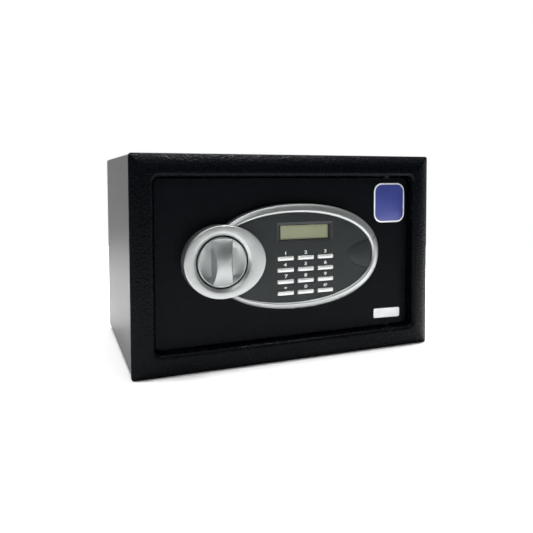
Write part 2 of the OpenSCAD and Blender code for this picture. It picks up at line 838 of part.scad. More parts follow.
module cover_screws() color("#a9acb0") {
    y0 = door_back + cover_t + 0.1;
    for (p = cover_screw_places()) difference() {
        union() {
            rod_y(p[0], p[1], 3.6, y0, y0 + 1.6);
            rod_y(p[0], p[1], 2, door_back, y0 + 0.5);
        }
        block([p[0] - 2.2, y0 + 0.8, p[1] - 0.4], [p[0] + 2.2, y0 + 2, p[1] + 0.4]);
        block([p[0] - 0.4, y0 + 0.8, p[1] - 2.2], [p[0] + 0.4, y0 + 2, p[1] + 2.2]);
    }
}

module fascia_screws() color("#a9acb0") {
    for (p = fascia_screw_places()) union() {
        rod_y(p[0], p[1], 3.6, door_back, door_back + 1.8);
        rod_y(p[0], p[1], 1.5, front_y + panel_front + 3, door_back + 0.5);
    }
}

// Direction of a route at point i
function heading(p, i) =
    let (d = p[min(i + 1, len(p) - 1)] - p[max(i - 1, 0)]) d / norm(d);

// Ring of points square to the route at point i
function wire_ring(p, i, r, sides) =
    let (t = heading(p, i), c = cross(t, [0, 1, 0]), u = c / norm(c), v = cross(t, u))
        [for (k = [0 : sides - 1]) p[i] + r * (cos(360 * k / sides) * u + sin(360 * k / sides) * v)];

// A round wire through a list of points
module wire(p, r) {
    sides = 8;
    last = len(p) - 1;
    rings = [for (i = [0 : last]) each wire_ring(p, i, r, sides)];
    walls = [for (i = [0 : last - 1], k = [0 : sides - 1])
        let (a = i * sides + k, b = i * sides + (k + 1) % sides) [a, b, b + sides, a + sides]];
    ends = [[for (k = [sides - 1 : -1 : 0]) k], [for (k = [0 : sides - 1]) last * sides + k]];
    polyhedron(rings, concat(walls, ends));
}

module wires() color("#b02a2a") {
    y = door_back + 1.2;
    wire([[-40, y, 84], [-28, y, 90], [-6, y, 98.5], [6, y, 105.5], [11.5, y, 109.6],
          [13, door_y + 2, 110.6]], 0.9);
    wire([[-32, y, 53], [-27, y, 54], [-18, y, 57], [-8, y, 58]], 0.9);
    wire([[16, y, 98], [30, y, 104], [32, y, 130], [38, y, 138]], 0.9);
}

body_shell();
back_panel();
front_frame();
hinge_bosses();
door_stops();
floor_mat();
feet();
door_panel();
hinge_brackets();
hinge_pins();
fascia_ring();
fascia_panel();
display_window();
display_module();
keypad_mat();
keypad_board();
knob_bezel();
knob();
spindle();
crank();
for (i = [0 : 11]) one_key(i);
end_cover();
lock_barrel();
lock_nut();
lock_plug();
lock_cam();
bolt_carriage();
one_bolt(knob_z + bolt_pitch / 2);  // bolt_upper
one_bolt(knob_z - bolt_pitch / 2);  // bolt_lower
bolt_guide();
carriage_rails();
solenoid_body();
solenoid_plunger();
plunger_spring();
control_board();
battery_box();
battery_contacts();
battery_cells();
battery_lid();
mechanism_cover();
reset_button();
cover_screws();
fascia_screws();
wires();
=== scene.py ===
"""Looks of the in-room safe: smooth fascia, knob and keys, finishes, light and camera."""

import json
import math

import bmesh
import bpy
from mathutils import Euler, Matrix, Vector


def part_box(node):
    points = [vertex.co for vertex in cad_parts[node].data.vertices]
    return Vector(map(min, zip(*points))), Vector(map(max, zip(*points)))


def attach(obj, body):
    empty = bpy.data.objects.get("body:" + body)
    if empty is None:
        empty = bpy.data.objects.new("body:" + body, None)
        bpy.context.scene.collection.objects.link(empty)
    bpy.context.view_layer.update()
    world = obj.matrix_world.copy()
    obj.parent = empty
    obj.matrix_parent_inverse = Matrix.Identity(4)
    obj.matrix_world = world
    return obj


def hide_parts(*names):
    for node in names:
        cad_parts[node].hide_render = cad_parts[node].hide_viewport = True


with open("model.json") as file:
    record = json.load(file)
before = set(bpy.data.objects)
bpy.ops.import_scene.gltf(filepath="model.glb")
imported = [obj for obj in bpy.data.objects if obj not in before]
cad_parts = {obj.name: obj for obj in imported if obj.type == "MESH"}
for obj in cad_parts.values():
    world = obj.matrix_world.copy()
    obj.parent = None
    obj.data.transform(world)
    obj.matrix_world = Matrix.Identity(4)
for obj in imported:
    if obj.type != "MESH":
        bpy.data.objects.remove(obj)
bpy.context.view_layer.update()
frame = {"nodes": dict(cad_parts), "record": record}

MM = 0.001
STEPS = 192  # points round a full outline

# ---------- places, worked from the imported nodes, in millimetres ----------


def span(node):
    """Lowest and highest corner of a CAD node in millimetres."""
    low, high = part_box(node)
    return low / MM, high / MM


knob_low, knob_high = span("knob")
bezel_low, bezel_high = span("knob_bezel")
ring_low, ring_high = span("fascia_ring")
panel_low, panel_high = span("fascia_panel")
window_low, window_high = span("display_window")
body_low, body_high = span("body_shell")
mech_low, mech_high = span("mechanism_cover")
lid_low, lid_high = span("battery_lid")

DOOR_Y = span("door_panel")[0].y  # the door's face
KNOB_X = (knob_low.x + knob_high.x) / 2
KNOB_Z = (knob_low.z + knob_high.z) / 2
KNOB_R = (knob_high.x - knob_low.x) / 2
RING_CROWN = ring_low.y
RING_Z = (ring_low.z + ring_high.z) / 2
RING_B = (ring_high.z - ring_low.z) / 2
RING_X = 5.1  # the ring's centre
RING_A = span("end_cover")[1].x - RING_X
RING_POWER = 2.2
PANEL_Y = panel_low.y
PANEL_X, PANEL_Z = 1.3, (panel_low.z + panel_high.z) / 2
PANEL_A, PANEL_B = 85.0, (panel_high.z - panel_low.z) / 2
PANEL_POWER = 2.11
DISPLAY_X = (window_low.x + window_high.x) / 2
DISPLAY_Z = (window_low.z + window_high.z) / 2

# ---------- mesh helpers ----------


def build(name, points, faces, material, body, slot, sharp=40):
    """A mesh piece from points in millimetres, riding on a body."""
    mesh = bpy.data.meshes.new(name)
    mesh.from_pydata([Vector(p) * MM for p in points], [], faces)
    shape = bmesh.new()
    shape.from_mesh(mesh)
    bmesh.ops.remove_doubles(shape, verts=shape.verts, dist=1e-7)
    bmesh.ops.recalc_face_normals(shape, faces=shape.faces)
    shape.to_mesh(mesh)
    shape.free()
    for polygon in mesh.polygons:
        polygon.use_smooth = True
    mesh.set_sharp_from_angle(angle=math.radians(sharp))
    piece = bpy.data.objects.new(name, mesh)
    bpy.context.scene.collection.objects.link(piece)
    mesh.materials.append(material)
    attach(piece, body)
    return piece


def loft(loops, closed=False, open_start=False):
    """Points and faces of a skin over equal loops, capped at its ends unless it closes on itself."""
    count = len(loops[0])
    points = [p for loop in loops for p in loop]
    faces = []
    last = len(loops) if closed else len(loops) - 1
    for i in range(last):
        a, b = i * count, (i + 1) % len(loops) * count
        for j in range(count):
            k = (j + 1) % count
            faces.append((a + j, a + k, b + k, b + j))
    if not closed and not open_start:
        faces.append(tuple(range(count)))
    if not closed:
        faces.append(tuple(range(len(points) - count, len(points))))
    return points, faces


def join(*skins):
    """Several skins as one set of points and faces."""
    points, faces = [], []
    for more_points, more_faces in skins:
        start = len(points)
        points += more_points
        faces += [tuple(i + start for i in face) for face in more_faces]
    return points, faces


def oval(cx, cz, a, b, power, angle):
    """A point of an oval whose corners are a little fuller than an ellipse's."""
    c, s = math.cos(angle), math.sin(angle)
    return (cx + a * math.copysign(abs(c) ** (2 / power), c),
            cz + b * math.copysign(abs(s) ** (2 / power), s))


def rounded(cx, cz, w, h, r, per_corner=6):
    """Points of a rounded rectangle."""
    outline = []
    for n, (sx, sz) in enumerate(((1, 1), (-1, 1), (-1, -1), (1, -1))):
        for i in range(per_corner + 1):
            turn = math.pi / 2 * (n + i / per_corner)
            outline.append((cx + sx * (w / 2 - r) + r * math.cos(turn),
                            cz + sz * (h / 2 - r) + r * math.sin(turn)))
    return outline


def at_depth(outline, y):
    """A flat outline in X and Z, placed at a depth."""
    return [(x, y, z) for x, z in outline]


# ---------- materials ----------


def link(nodes, source, out, target, into):
    """Join one node's output to another's input."""
    nodes.id_data.links.new(source.outputs[out], target.inputs[into])


def surface(name, colour, rough, metal=0.0, spread=0.12, mottle=30.0, rough_spread=0.08,
            grain=900.0, bump=0.1, depth=0.0002, stretch=(1, 1, 1), specular=0.5,
            specks=None, coat=0.0, alpha=1.0):
    """A finish with mottled colour and roughness, and a fine grain in its relief."""
    material = bpy.data.materials.new(name)
    material.use_nodes = True
    nodes = material.node_tree.nodes
    shader = nodes["Principled BSDF"]
    shader.inputs["Metallic"].default_value = metal
    shader.inputs["Specular IOR Level"].default_value = specular
    shader.inputs["Coat Weight"].default_value = coat
    shader.inputs["Coat Roughness"].default_value = 0.25
    shader.inputs["Alpha"].default_value = alpha
    place = nodes.new("ShaderNodeTexCoord")
    scale = nodes.new("ShaderNodeMapping")
    scale.inputs["Scale"].default_value = stretch
    link(nodes, place, "Object", scale, "Vector")
    cloud = nodes.new("ShaderNodeTexNoise")
    cloud.inputs["Scale"].default_value = mottle
    cloud.inputs["Detail"].default_value = 6
    link(nodes, scale, "Vector", cloud, "Vector")
    tone = nodes.new("ShaderNodeValToRGB")
    low, high = tone.color_ramp.elements
    low.position, high.position = 0.3, 0.7
    low.color = [max(0.0, c * (1 - spread)) for c in colour] + [1]
    high.color = [min(1.0, c * (1 + spread)) for c in colour] + [1]
    link(nodes, cloud, "Fac", tone, "Fac")
    link(nodes, tone, "Color", shader, "Base Color")
    fine = nodes.new("ShaderNodeTexNoise")
    fine.inputs["Scale"].default_value = grain
    fine.inputs["Detail"].default_value = 3
    link(nodes, scale, "Vector", fine, "Vector")
    gloss = nodes.new("ShaderNodeMapRange")
    gloss.inputs["From Min"].default_value = 0.3
    gloss.inputs["From Max"].default_value = 0.7
    gloss.inputs["To Min"].default_value = max(0.02, rough - rough_spread)
    gloss.inputs["To Max"].default_value = min(1.0, rough + rough_spread)
    link(nodes, fine if specks else cloud, "Fac", gloss, "Value")
    link(nodes, gloss, "Result", shader, "Roughness")
    relief = nodes.new("ShaderNodeBump")
    relief.inputs["Strength"].default_value = bump
    relief.inputs["Distance"].default_value = depth
    link(nodes, fine, "Fac", relief, "Height")
    link(nodes, relief, "Normal", shader, "Normal")
    return material


finish = {
    "body_paint": surface("body_powder_coat", (0.012, 0.013, 0.0125), 0.4, mottle=60, grain=620,
                          bump=0.7, depth=0.0006, specks=True, specular=0.22),
    "frame_paint": surface("frame_powder_coat", (0.0014, 0.0021, 0.0034), 0.26, mottle=60,
                           grain=560, bump=0.85, depth=0.0008, specks=True, specular=0.06),
    "door_paint": surface("door_powder_coat", (0.0022, 0.0031, 0.0046), 0.42, mottle=80,
                          grain=700, bump=0.7, depth=0.0006, specks=True, specular=0.055),
    "satin_silver": surface("satin_silver", (0.43, 0.45, 0.447), 0.38, metal=0.85, spread=0.04,
                            mottle=140, rough_spread=0.04, grain=1500, bump=0.04, depth=0.00004),
    "panel_charcoal": surface("panel_charcoal", (0.010, 0.0138, 0.0150), 0.50, spread=0.10,
                              mottle=90, grain=2400, bump=0.25, depth=0.0001, specular=0.34),
    "key_silver": surface("key_silver", (0.66, 0.68, 0.67), 0.40, metal=0.45, spread=0.04,
                          mottle=200, grain=3000, bump=0.05, depth=0.0001),
    "lens": surface("lens", (0.02, 0.02, 0.02), 0.06, spread=0.1, grain=300, bump=0.02,
                    rough_spread=0.03, alpha=0.12),
    "lcd": surface("lcd_field", (0.43, 0.46, 0.29), 0.35, spread=0.05, mottle=25, grain=3500,
                   bump=0.05, depth=0.0001),
    "silicone": surface("silicone", (0.03, 0.032, 0.034), 0.6, grain=1500, bump=0.1),
    "board_green": surface("board_green", (0.02, 0.13, 0.05), 0.35, spread=0.5, mottle=220,
                           grain=900, bump=0.2),
    "zinc": surface("zinc_plate", (0.52, 0.53, 0.54), 0.32, metal=0.95, spread=0.15, mottle=120,
                    rough_spread=0.15, grain=700, bump=0.1),
    "bolt_steel": surface("turned_steel", (0.72, 0.73, 0.74), 0.2, metal=1.0, spread=0.06,
                          grain=900, bump=0.15, stretch=(6, 1, 1)),
    "steel_dark": surface("dark_steel", (0.22, 0.225, 0.235), 0.38, metal=0.85, spread=0.2,
                          mottle=90, grain=800, bump=0.15),
    "brass": surface("brass", (0.62, 0.44, 0.17), 0.28, metal=1.0, spread=0.1, grain=900,
                     bump=0.1, stretch=(1, 4, 1)),
    "mat_felt": surface("felt", (0.045, 0.047, 0.055), 0.95, spread=0.45, mottle=700,
                        grain=1300, bump=0.9, depth=0.0010, specular=0.15),
    "foot_rubber": surface("rubber", (0.012, 0.012, 0.012), 0.75, spread=0.3, grain=900,
                           bump=0.3),
    "black_plastic": surface("black_plastic", (0.018, 0.019, 0.021), 0.45, spread=0.15,
                             mottle=150, grain=1700, bump=0.35, depth=0.0003),
    "cell_jacket": surface("cell_jacket", (0.05, 0.16, 0.30), 0.3, spread=0.2, mottle=60,
                           grain=500, bump=0.05, coat=0.3),
    "button_red": surface("button_red", (0.45, 0.02, 0.02), 0.35, spread=0.1, grain=1500,
                          bump=0.1),
    "wire_red": surface("wire_red", (0.42, 0.02, 0.02), 0.4, spread=0.2, mottle=300, grain=1500,
                        bump=0.1),
}
# The knob's silver: the same satin silver as the bezel, made darker. The darker colour is painted
# shade standing in for the knob's shadowed, dark-reflecting grip.
knob_silver_painted_shade = surface("knob_silver_painted_shade", (0.33, 0.35, 0.348), 0.38, metal=0.85, spread=0.04,
                      mottle=140, rough_spread=0.04, grain=1500, bump=0.04, depth=0.00004)
key_print = surface("key_print", (0.72, 0.74, 0.74), 0.6, spread=0.06, mottle=300, grain=2500,
                    bump=0.1, depth=0.0001)
mask_black = surface("mask_black", (0.004, 0.004, 0.004), 0.35, grain=2000, bump=0.05)
bevel_black = surface("bevel_black", (0.014, 0.016, 0.017), 0.55, mottle=120, grain=2000,
                      bump=0.08, depth=0.0001)
label_white = surface("label_white", (0.86, 0.88, 0.88), 0.55, spread=0.04, mottle=120,
                      grain=1800, bump=0.1)
sticker_blue = surface("sticker_blue", (0.045, 0.06, 0.27), 0.4, spread=0.03, mottle=60,
                       rough_spread=0.01, grain=1200, bump=0.02, coat=0.3)

# Every CAD node that stays in view takes the finish of its slot
slot_of = {part["node"]: part["material_slot"] for part in frame["record"]["subparts"]}
for name, node in frame["nodes"].items():
    node.data.materials.clear()
    node.data.materials.append(finish[slot_of[name]])

# ---------- the silver ring and the end cover ----------

END_X, END_Z, END_A, END_B = 85.0, 100.8, 26.6, 14.0  # the cover's ellipse
RING_FLANK = 3.6  # how far the ring's broad face falls away from its crown
RING_LIP = 1.5  # how far its inner lip falls
RING_CROWN_AT = 0.72  # share of the ring's width at which the crown lies
SEAM_OUT_X = {1: 91.2, -1: 90.3}  # where the upper and lower seam reach the ring's edge
SEAM_GAP = 0.007  # half a seam, as an angle round the ring
SEAM_LEAN = 0.35  # the angle over which the sections lean towards a seam
UNDER_BEZEL = math.radians(149)  # where the ring ends, out of sight
RING_STEPS = 150
TRIM_STEPS = 24
PLATE_STEPS = 48


def nearest_on_panel(x, z):
    """The panel outline's point closest to a place."""
    ring = (oval(PANEL_X, PANEL_Z, PANEL_A, PANEL_B, PANEL_POWER, 2 * math.pi * i / 1440)
            for i in range(1440))
    return min(ring, key=lambda p: (p[0] - x) ** 2 + (p[1] - z) ** 2)


def ring_section(outer, inner):
    """One closed section: a broad face sloping outward, a crown near the inner edge, a lip."""
    section = [(0.0, DOOR_Y), (0.0, RING_CROWN + RING_FLANK + 0.8)]
    for i in range(1, 11):
        s = i / 10
        section.append((RING_CROWN_AT * s ** 1.15,
                        RING_CROWN + RING_FLANK * (1 - s ** 0.62) ** 1.1))
    for i in range(1, 7):
        s = i / 6
        section.append((RING_CROWN_AT + (1 - RING_CROWN_AT) * math.sin(math.pi / 2 * s),
                        RING_CROWN + RING_LIP * (1 - math.cos(math.pi / 2 * s))))
    section.append((1.0, DOOR_Y))
    return [(outer[0] + (inner[0] - outer[0]) * s, y, outer[1] + (inner[1] - outer[1]) * s)
            for s, y in section]


def seam_start(sign):
    """Where the upper or lower seam crosses the panel's edge."""
    z = END_Z + sign * END_B
    rise = abs((z - PANEL_Z) / PANEL_B) ** PANEL_POWER
    return PANEL_X + PANEL_A * (1 - rise) ** (1 / PANEL_POWER), z


def ring_strip(start, end, sign, count, slant_at):
    """Ring sections between two angles; the seam end leans to meet the cover."""
    sections = []
    for i in range(count + 1):
        turn = start + (end - start) * i / count
        x, z = oval(RING_X, RING_Z, RING_A, RING_B, RING_POWER, sign * turn)
        inner = nearest_on_panel(x, z)
        lean = max(0.0, 1 - abs(turn - slant_at) / SEAM_LEAN) ** 2
        target = nearest_on_panel(*seam_start(sign))
        inner = nearest_on_panel(inner[0] + (target[0] - inner[0]) * lean,
                                 inner[1] + (target[1] - inner[1]) * lean)
        sections.append(ring_section((x, z), inner))
    return loft(sections)


def oval_angle(x):
    """The ring's angle at which its outline has a given X."""
    return math.acos(((x - RING_X) / RING_A) ** (RING_POWER / 2))


seam_turn = {sign: oval_angle(x) for sign, x in SEAM_OUT_X.items()}
upper = ring_strip(seam_turn[1] + SEAM_GAP, UNDER_BEZEL, 1, RING_STEPS, seam_turn[1])
lower = ring_strip(seam_turn[-1] + SEAM_GAP, UNDER_BEZEL, -1, RING_STEPS, seam_turn[-1])
ring = build("silver_ring", *join(upper, lower), finish["satin_silver"], "door", "satin_silver")
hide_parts("fascia_ring")

top_half = ring_strip(seam_turn[1] - SEAM_GAP, 0, 1, TRIM_STEPS, seam_turn[1])[0]
low_half = ring_strip(0, seam_turn[-1] - SEAM_GAP, -1, TRIM_STEPS, seam_turn[-1])[0]
count = len(top_half) // (TRIM_STEPS + 1)
trim_points = top_half + low_half[count:]
trim_loops = [trim_points[i:i + count] for i in range(0, len(trim_points), count)]
build("end_cover_trim", *loft(trim_loops), finish["satin_silver"], "end_cover", "satin_silver")


def cover_outline(inset):
    """The cover's plate: the ellipse on its left, the panel's edge on its right."""
    outline = []
    top = math.acos((seam_start(1)[0] - END_X) / END_A)
    for i in range(PLATE_STEPS + 1):
        turn = top + (2 * math.pi - 2 * top) * i / PLATE_STEPS
        outline.append((END_X + (END_A - inset) * math.cos(turn),
                        END_Z + (END_B - inset) * math.sin(turn)))
    low_z, high_z = outline[-1][1], outline[0][1]
    for i in range(1, TRIM_STEPS):
        z = low_z + (high_z - low_z) * i / TRIM_STEPS
        rise = abs((z - PANEL_Z) / PANEL_B) ** PANEL_POWER
        x = PANEL_X + PANEL_A * (1 - rise) ** (1 / PANEL_POWER)
        outline.append((x - 0.05 - inset, z))
    return outline


plate_loops = [at_depth(cover_outline(0), PANEL_Y + 2), at_depth(cover_outline(0), PANEL_Y + 0.3),
               at_depth(cover_outline(0.12), PANEL_Y + 0.08), at_depth(cover_outline(0.35), PANEL_Y)]
plate = build("end_cover_plate", *loft(plate_loops), finish["panel_charcoal"], "end_cover",
              "panel_charcoal")
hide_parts("end_cover")

# ---------- the knob's bezel ----------

BEZEL_Y = bezel_low.y
BEZEL_X = KNOB_X + 0.5
BEZEL_LEFT = BEZEL_X - bezel_low.x
BEZEL_RIGHT = bezel_high.x - BEZEL_X
BEZEL_B = (bezel_high.z - bezel_low.z) / 2
HOLE_R = KNOB_R + 1.4
CHAMFER = 2.7
CHAMFER_DEPTH = 1.6
BEZEL_EDGE = 1.3  # rounding of the bezel's edge
BEZEL_WALL = 2.2


def egg(grow, y):
    """The bezel's egg outline, grown or shrunk, at a depth."""
    loop = []
    for i in range(STEPS):
        turn = 2 * math.pi * i / STEPS
        a = (BEZEL_RIGHT if math.cos(turn) > 0 else BEZEL_LEFT) + grow
        loop.append((BEZEL_X + a * math.cos(turn), y,
                     KNOB_Z + (BEZEL_B + grow) * math.sin(turn)))
    return loop


def circle(r, y):
    """A circle round the knob's axis at a depth."""
    return [(KNOB_X + r * math.cos(2 * math.pi * i / STEPS), y,
             KNOB_Z + r * math.sin(2 * math.pi * i / STEPS)) for i in range(STEPS)]


def between(first, second, share):
    """A loop part of the way between two loops."""
    return [tuple(a + (b - a) * share for a, b in zip(p, q)) for p, q in zip(first, second)]


bezel_loops = [egg(0, DOOR_Y), egg(0, BEZEL_Y + BEZEL_EDGE)]
for i in range(1, 9):
    turn = math.pi / 2 * i / 8
    bezel_loops.append(egg(-BEZEL_EDGE * (1 - math.cos(turn)),
                           BEZEL_Y + BEZEL_EDGE * (1 - math.sin(turn))))
inner_edge = circle(HOLE_R + CHAMFER + 0.4, BEZEL_Y)
bezel_loops += [between(bezel_loops[-1], inner_edge, 0.5), inner_edge,
                circle(HOLE_R + CHAMFER + 0.1, BEZEL_Y + 0.06),
                circle(HOLE_R + CHAMFER - 0.2, BEZEL_Y + 0.28),
                circle(HOLE_R + 0.25, BEZEL_Y + CHAMFER_DEPTH - 0.1),
                circle(HOLE_R + 0.05, BEZEL_Y + CHAMFER_DEPTH + 0.15),
                circle(HOLE_R, BEZEL_Y + CHAMFER_DEPTH + 0.5),
                circle(HOLE_R, BEZEL_Y + 12), circle(HOLE_R + 1.2, BEZEL_Y + 12),
                egg(-BEZEL_WALL, DOOR_Y)]
bezel = build("bezel_shell", *loft(bezel_loops, closed=True), finish["satin_silver"], "door",
              "satin_silver")
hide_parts("knob_bezel")

# ---------- the knob ----------

RIM_Y = BEZEL_Y + 0.8
CREST_TOP = knob_low.y
GRIP_HALF = 10.0  # half width at the grip's foot
WAIST_HALF = 6.6  # half width of the crest at its middle
END_HALF = 9.7  # half width of the crest at its ends
CROWN = 0.9  # how far the crest's edges lie behind its middle line
GRIP_REACH = 21.0  # how far the grip runs from the axis
FLAT_DROP = 2.6  # how far the side flats dip towards the grip
EDGE = 0.9  # rounding of the disc's edge
DISC_BACK = RIM_Y + 8.0
BOSS_R = 8.0


def grip_height(z):
    """Depth of the crest along the grip."""
    share = min(1.0, abs(z) / GRIP_REACH)
    return CREST_TOP + (RIM_Y - 0.5 - CREST_TOP) * share ** 2.3


def knob_row(turn):
    """One row of the knob's front, across the grip, at a height given by an angle."""
    top_r = KNOB_R - EDGE
    z = top_r * math.sin(turn)
    half = top_r * math.cos(turn)
    share = min(1.0, abs(z) / GRIP_REACH)
    foot = min(GRIP_HALF, half * 0.985)
    crest = WAIST_HALF + (END_HALF - WAIST_HALF) * share ** 2.0
    crest = min(crest, foot - 0.3 if foot > 1.2 else foot * 0.5)
    top = grip_height(z)
    dip = FLAT_DROP * min(1.0, (half - foot) / 8.0)
    foot_y = RIM_Y + dip
    if abs(z) > GRIP_REACH:
        fade = min(1.0, (abs(z) - GRIP_REACH) / 0.6)
        top += (RIM_Y - top) * fade
    row = []
    for i in range(9):
        share_out = i / 8
        x = half + (foot - half) * share_out
        row.append((x, RIM_Y + dip * math.sin(math.pi / 2 * share_out) ** 1.3))
    crown = CROWN * (1 - 0.6 * share)
    edge_y = min(top + crown, foot_y)
    for i in range(1, 9):
        s = i / 8
        row.append((foot + (crest - foot) * s, foot_y + (edge_y - foot_y) * s ** 0.85))
    for i in range(1, 9):
        s = i / 8
        row.append((crest * (1 - s), edge_y - (edge_y - top) * (1 - (1 - s) ** 2.4)))
    right = [(KNOB_X + x, y, KNOB_Z + z) for x, y in row]
    left = [(KNOB_X - x, y, KNOB_Z + z) for x, y in reversed(row[:-1])]
    return right + left


ROWS = 96  # rows over the knob's height
rows = [knob_row(math.pi * (i / ROWS - 0.5)) for i in range(ROWS + 1)]
width = len(rows[0])
knob_points = [p for row in rows for p in row]
knob_faces = [(i * width + j, i * width + j + 1, (i + 1) * width + j + 1, (i + 1) * width + j)
              for i in range(ROWS) for j in range(width - 1)]
rim = [rows[i][0] for i in range(ROWS + 1)] + [rows[i][-1] for i in range(ROWS - 1, 0, -1)]


def rim_loop(r, y):
    """The disc's edge at a radius and depth, point for point with the front's edge."""
    loop = []
    for x, _, z in rim:
        out = Vector((x - KNOB_X, z - KNOB_Z)).normalized() * r
        loop.append((KNOB_X + out.x, y, KNOB_Z + out.y))
    return loop


side_loops = [list(rim)]
for i in range(1, 6):
    turn = math.pi / 2 * i / 5
    side_loops.append(rim_loop(KNOB_R - EDGE * (1 - math.sin(turn)),
                               RIM_Y + EDGE * (1 - math.cos(turn))))
side_loops += [rim_loop(KNOB_R, DISC_BACK), rim_loop(BOSS_R + 1, DISC_BACK),
               rim_loop(BOSS_R, DOOR_Y - 0.4)]
# The knob takes the darker silver copy, whose lower colour is painted shade.
knob = build("knob_grip", *join((knob_points, knob_faces), loft(side_loops, open_start=True)),
             knob_silver_painted_shade, "knob", "satin_silver", sharp=50)
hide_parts("knob")

# ---------- keys and their legends ----------

legends = {"key_1": "1", "key_2": "2", "key_3": "3", "key_4": "4", "key_5": "5", "key_6": "6",
           "key_7": "7", "key_8": "8", "key_9": "9", "key_star": "*", "key_0": "0",
           "key_hash": "#"}
KEY_EDGE = 0.5  # rounding of a key's edge
KEY_FLANGE_THICK = 0.9
KEY_CROWN = 0.25  # how far a key's edge lies behind its middle
KEY_FLANGE = 0.9  # how far the flange stands out on each side
FLANGE_R, CAP_R = 0.8, 0.7  # corner radii
LEGEND_RISE = 5.2  # from a key's middle up to its legend's
LEGEND_SIZE = 4.3
LEGEND_SWELL = 0.09  # thickens the strokes
LEGEND_WIDEN = 1.5
LEGEND_THICK = 0.02


def key_cap(name):
    """A crowned key with rounded edges and the flange that holds it in."""
    low, high = span(name)
    cx, cz = (low.x + high.x) / 2, (low.z + high.z) / 2
    flange_w, flange_h = high.x - low.x, high.z - low.z
    w, h = flange_w - 2 * KEY_FLANGE, flange_h - 2 * KEY_FLANGE
    face, back = low.y, high.y
    loops = [at_depth(rounded(cx, cz, flange_w, flange_h, FLANGE_R), back),
             at_depth(rounded(cx, cz, flange_w, flange_h, FLANGE_R), back - KEY_FLANGE_THICK),
             at_depth(rounded(cx, cz, w, h, CAP_R), back - KEY_FLANGE_THICK - 0.1),
             at_depth(rounded(cx, cz, w, h, CAP_R), face + KEY_CROWN + KEY_EDGE)]
    for i in range(1, 6):
        turn = math.pi / 2 * i / 5
        inset = 2 * KEY_EDGE * (1 - math.cos(turn))
        loops.append(at_depth(rounded(cx, cz, w - inset, h - inset, CAP_R - inset / 4),
                              face + KEY_CROWN + KEY_EDGE * (1 - math.sin(turn))))
    loops += [at_depth(rounded(cx, cz, w - 3.0, h - 2.2, 0.4), face + 0.06),
              at_depth(rounded(cx, cz, w - 8.0, h - 3.4, 0.2), face)]
    cap = build(name + "_cap", *loft(loops), finish["key_silver"], name, "key_silver")
    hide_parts(name)
    return cx, cz


def print_legend(name, text, x, z):
    """A printed legend, lying on the panel's face."""
    curve = bpy.data.curves.new(name, "FONT")
    curve.body = text
    curve.size = LEGEND_SIZE * MM
    curve.align_x = "CENTER"
    curve.align_y = "CENTER"
    curve.extrude = LEGEND_THICK * MM
    curve.offset = LEGEND_SWELL * MM
    temporary = bpy.data.objects.new(name, curve)
    bpy.context.scene.collection.objects.link(temporary)
    bpy.context.view_layer.update()
    mesh = bpy.data.meshes.new_from_object(temporary)
    bpy.data.objects.remove(temporary)
    middle = sum((v.co for v in mesh.vertices), Vector()) / len(mesh.vertices)
    low = min(v.co.y for v in mesh.vertices)
    high = max(v.co.y for v in mesh.vertices)
    mesh.transform(Matrix.Translation((-middle.x, -(low + high) / 2, 0)))
    mesh.transform(Matrix.Diagonal((LEGEND_WIDEN, 1, 1, 1)))
    mesh.transform(Matrix.Translation(Vector((x, PANEL_Y - LEGEND_THICK, z)) * MM)
                   @ Matrix.Rotation(math.pi / 2, 4, "X"))
    mesh.materials.clear()
    mesh.materials.append(key_print)
    piece = bpy.data.objects.new(name, mesh)
    bpy.context.scene.collection.objects.link(piece)
    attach(piece, "door")


for key, text in legends.items():
    key_x, key_z = key_cap(key)
    print_legend(key.replace("key_", "legend_"), text, key_x, key_z + LEGEND_RISE)

# ---------- display ----------

LCD_W, LCD_H = 51.0, 13.6
DISPLAY_W, DISPLAY_H = 60.3, 20.0  # the display's sunk opening
BEVEL_W, BEVEL_H = DISPLAY_W - 6, DISPLAY_H - 5  # its inner end
BEVEL_DEPTH = 1.35
MASK_W, MASK_H = 58, 18
MASK_Y = window_low.y


def frame_plate(name, cx, cz, outer, hole, y0, y1, material, body, slot):
    """A thin plate with a rounded window."""
    loops = [at_depth(rounded(cx, cz, *outer), y1), at_depth(rounded(cx, cz, *outer), y0),
             at_depth(rounded(cx, cz, *hole), y0), at_depth(rounded(cx, cz, *hole), y1)]
    return build(name, *loft(loops, closed=True), material, body, slot)


bevel_outer = rounded(DISPLAY_X, DISPLAY_Z, DISPLAY_W, DISPLAY_H, 1.2)
bevel_inner = rounded(DISPLAY_X, DISPLAY_Z, BEVEL_W, BEVEL_H, 0.5)
bevel = [at_depth(bevel_outer, PANEL_Y - 0.05), at_depth(bevel_inner, PANEL_Y + BEVEL_DEPTH),
         at_depth(bevel_inner, PANEL_Y + BEVEL_DEPTH + 0.55), at_depth(bevel_outer, PANEL_Y + 0.6)]
build("display_bevel", *loft(bevel, closed=True), bevel_black, "door", "panel_charcoal")
frame_plate("display_mask", DISPLAY_X, DISPLAY_Z, (MASK_W, MASK_H, 1.0), (LCD_W, LCD_H, 0.6),
            MASK_Y - 0.06, MASK_Y - 0.005, mask_black, "door", "panel_charcoal")

# ---------- plain stickers ----------


def sticker(name, cx, cz, w, h, r, y, thick, material, turn=0.0):
    """A thin plate with softly rounded edges, turned a little on the door."""
    loops = [at_depth(rounded(cx, cz, w, h, r), y),
             at_depth(rounded(cx, cz, w, h, r), y - thick * 0.7),
             at_depth(rounded(cx, cz, w - 0.2, h - 0.2, r - 0.1), y - thick)]
    turned = []
    c, s = math.cos(turn), math.sin(turn)
    for loop in loops:
        turned.append([(cx + (x - cx) * c - (z - cz) * s, d, cz + (x - cx) * s + (z - cz) * c)
                       for x, d, z in loop])
    return build(name, *loft(turned), material, "door", "door_paint")


